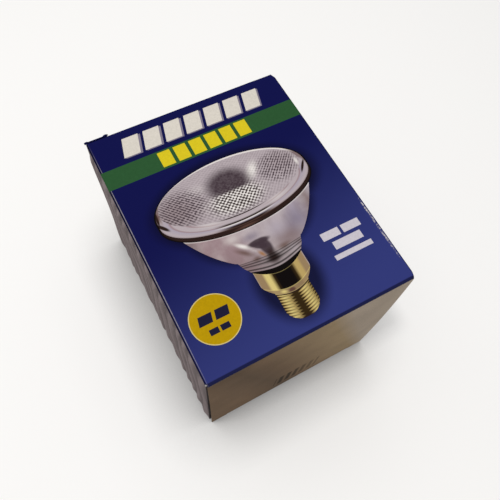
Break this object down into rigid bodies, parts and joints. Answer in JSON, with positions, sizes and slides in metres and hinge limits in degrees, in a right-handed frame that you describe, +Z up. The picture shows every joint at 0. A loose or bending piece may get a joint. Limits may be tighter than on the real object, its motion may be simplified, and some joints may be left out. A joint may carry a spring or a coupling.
{
  "type": "light bulb carton",
  "caption": "Closed printed folding carton with tuck-end closures and dust flaps, lying on its back, with a reflector halogen lamp and its screw base inside.",
  "frame": {"origin": "centre of the back panel's outer face, on the surface that the carton lies on", "axes": "+Z up through the printed front panel, +Y from the bottom end to the top end, +X to the reader's right"},
  "size_m": [0.124, 0.1591, 0.124],
  "materials": {
    "printed_board": "satin",
    "plain_board": "matte",
    "pressed_glass": "gloss",
    "aluminised_glass": "gloss",
    "quartz": "gloss",
    "tungsten": "matte",
    "nickel_wire": "satin",
    "steel_sleeve": "satin",
    "brass_sheet": "satin",
    "dark_glass": "gloss",
    "solder": "satin"
  },
  "bodies": {
    "carton": {"carton_sleeve": "printed_board", "lamp_lens": "pressed_glass", "lamp_reflector": "aluminised_glass", "lamp_capsule": "quartz", "lamp_filament": "tungsten", "lead_wires": "nickel_wire", "lead_ferrules": "steel_sleeve", "screw_base": "brass_sheet", "base_insulator": "dark_glass", "centre_contact": "solder"},
    "bottom_closure": {"bottom_closure": "plain_board"},
    "top_closure": {"top_closure": "plain_board"}
  },
  "joints": [
    {"name": "bottom_closure_crease", "type": "hinge", "parent": "carton", "child": "bottom_closure", "pos_m": [0, -0.07762, 0.12375], "axis": [-1, 0, 0], "range_deg": [-0.9, 150]},
    {"name": "top_closure_crease", "type": "hinge", "parent": "carton", "child": "top_closure", "pos_m": [0, 0.07762, 0.00025], "axis": [-1, 0, 0], "range_deg": [-0.35, 88]}
  ]
}
